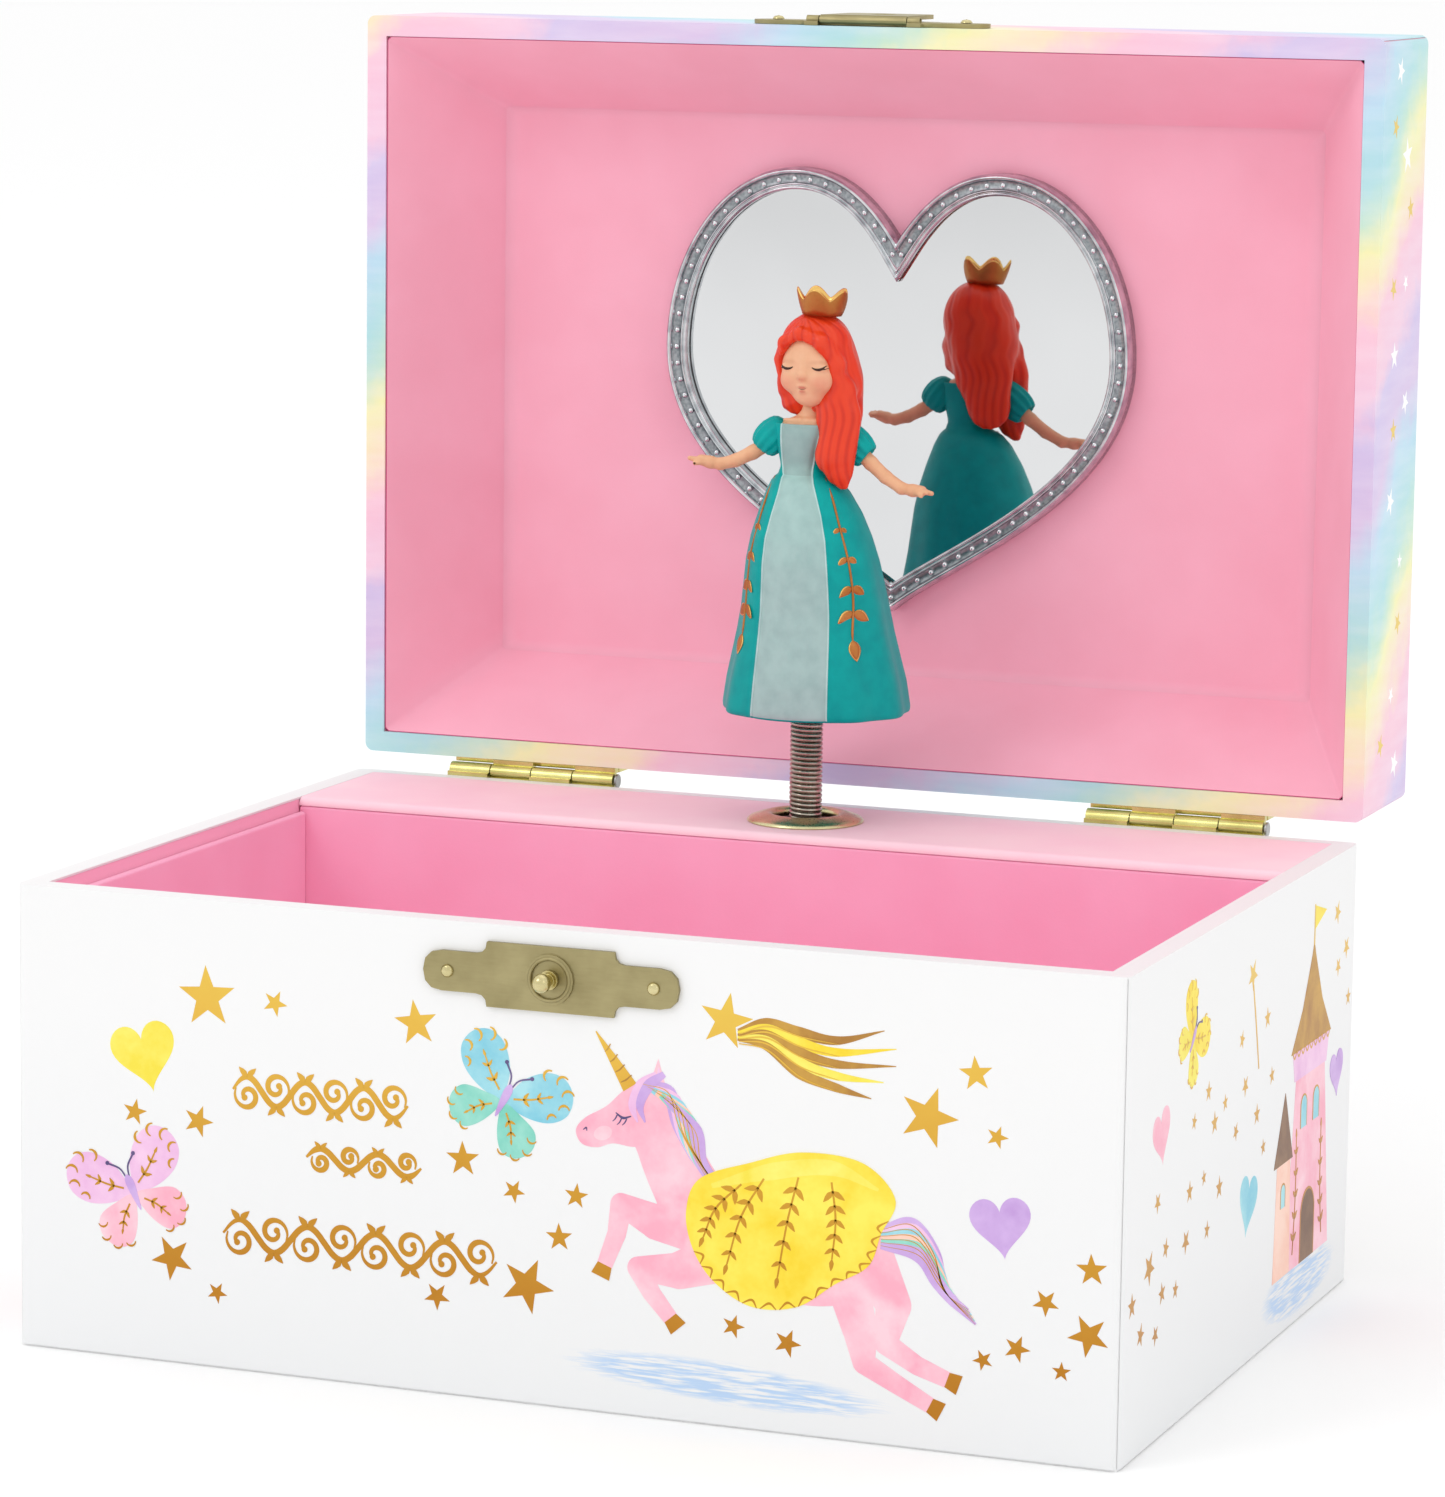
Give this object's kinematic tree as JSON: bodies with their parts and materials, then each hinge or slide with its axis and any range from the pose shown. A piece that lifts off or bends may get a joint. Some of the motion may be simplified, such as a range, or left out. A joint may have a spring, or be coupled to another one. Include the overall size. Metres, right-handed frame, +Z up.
{
  "type": "musical jewellery box",
  "caption": "Paper-wrapped musical jewellery box with a lined compartment, a hinged lid with a heart mirror, and a turning princess figurine on a coil spring.",
  "frame": {"origin": "centre of the flat underside that the box stands on", "axes": "+Z up, +X to the viewer's right along the width, +Y from the latch at the front to the hinges at the back; rest pose is the lid open at 90 degrees"},
  "size_m": [0.152, 0.1367, 0.1741],
  "materials": {
    "board": "raw fibreboard",
    "base_paper": "white coated paper with printed motifs and gold foil",
    "lid_paper": "pastel watercolour printed paper with foil stars",
    "pink_board": "pink paper over card",
    "deck_board": "pale pink paper over card",
    "brass": "stamped brass plate",
    "nickel_spring": "close wound nickel plated wire",
    "steel": "turned steel",
    "frame_silver": "metallised plastic moulding",
    "mirror": "silvered acrylic sheet",
    "gown_paint": "painted moulded plastic",
    "skin_paint": "painted moulded plastic",
    "hair_paint": "painted moulded plastic",
    "crown_paint": "gold painted moulded plastic"
  },
  "bodies": {
    "box": {"base_bottom": "board", "base_front": "board", "base_back": "board", "base_left": "board", "base_right": "board", "base_wrap": "base_paper", "lining_floor": "pink_board", "lining_front": "pink_board", "lining_left": "pink_board", "lining_right": "pink_board", "deck_top": "deck_board", "deck_front": "pink_board", "deck_grommet": "brass", "latch_plate": "brass", "latch_stud": "brass", "latch_pin_left": "brass", "latch_pin_right": "brass", "hinge_left_base_leaf": "brass", "hinge_right_base_leaf": "brass", "hinge_left_pin": "brass", "hinge_right_pin": "brass", "movement_bedplate": "brass", "music_comb": "steel"},
    "lid": {"lid_top": "board", "lid_front": "board", "lid_back": "board", "lid_left": "board", "lid_right": "board", "lid_wrap": "lid_paper", "liner_panel": "pink_board", "liner_front": "pink_board", "liner_back": "pink_board", "liner_left": "pink_board", "liner_right": "pink_board", "mirror_frame": "frame_silver", "mirror_glass": "mirror", "catch_plate": "brass", "catch_pin_left": "brass", "catch_pin_right": "brass", "hinge_left_lid_leaf": "brass", "hinge_right_lid_leaf": "brass"},
    "hasp": {"hasp": "brass"},
    "figure_mount": {"figure_spring": "nickel_spring", "spring_plug": "steel"},
    "figurine": {"figure_gown": "gown_paint", "figure_head": "skin_paint", "figure_hair": "hair_paint", "figure_crown": "crown_paint", "figure_arm_left": "skin_paint", "figure_arm_right": "skin_paint", "figure_peg": "steel"},
    "cylinder": {"melody_cylinder": "brass", "drive_spindle": "steel"},
    "drum": {"spring_barrel": "brass"},
    "winding_arbor": {"winding_key": "brass"},
    "governor": {"governor_fly": "steel"},
    "stop": {"stop_wire": "steel"}
  },
  "joints": [
    {"name": "lid_hinge", "type": "hinge", "parent": "box", "child": "lid", "pos_m": [0, 0.0554, 0.0626], "axis": [1, 0, 0], "range_deg": [0, 90]},
    {"name": "hasp_hinge", "type": "hinge", "parent": "lid", "child": "hasp", "pos_m": [0, 0.0569, 0.17338], "axis": [1, 0, 0], "range_deg": [0, 180]},
    {"name": "figurine_fold", "type": "hinge", "parent": "box", "child": "figure_mount", "pos_m": [0, 0.036, 0.064], "axis": [1, 0, 0], "range_deg": [0, 90], "deforming": ["figure_spring"]},
    {"name": "figurine_spin", "type": "hinge", "parent": "figure_mount", "child": "figurine", "pos_m": [0, 0.038, 0.08], "axis": [0, 0, 1], "continuous": true},
    {"name": "drum_spin", "type": "hinge", "parent": "box", "child": "drum", "pos_m": [0, 0.045, 0.015], "axis": [0, 1, 0], "continuous": true},
    {"name": "cylinder_spin", "type": "hinge", "parent": "box", "child": "cylinder", "pos_m": [0, 0.038, 0.035], "axis": [0, 0, 1], "continuous": true},
    {"name": "governor_spin", "type": "hinge", "parent": "box", "child": "governor", "pos_m": [-0.0086, 0.038, 0.045], "axis": [0, 0, 1], "continuous": true},
    {"name": "winding", "type": "hinge", "parent": "box", "child": "winding_arbor", "pos_m": [0, 0.055, 0.015], "axis": [0, 1, 0], "continuous": true},
    {"name": "stop_slide", "type": "slide", "parent": "box", "child": "stop", "axis": [0, 0, 1], "range_m": [-0.002, 0]}
  ],
  "couplings": [
    {"joint": "figurine_fold", "follows": "lid_hinge", "ratio": 1},
    {"joint": "stop_slide", "follows": "lid_hinge", "m_per_rad": -0.00127},
    {"joint": "cylinder_spin", "follows": "drum_spin", "ratio": -4},
    {"joint": "figurine_spin", "follows": "drum_spin", "ratio": -4},
    {"joint": "governor_spin", "follows": "drum_spin", "ratio": 13}
  ]
}
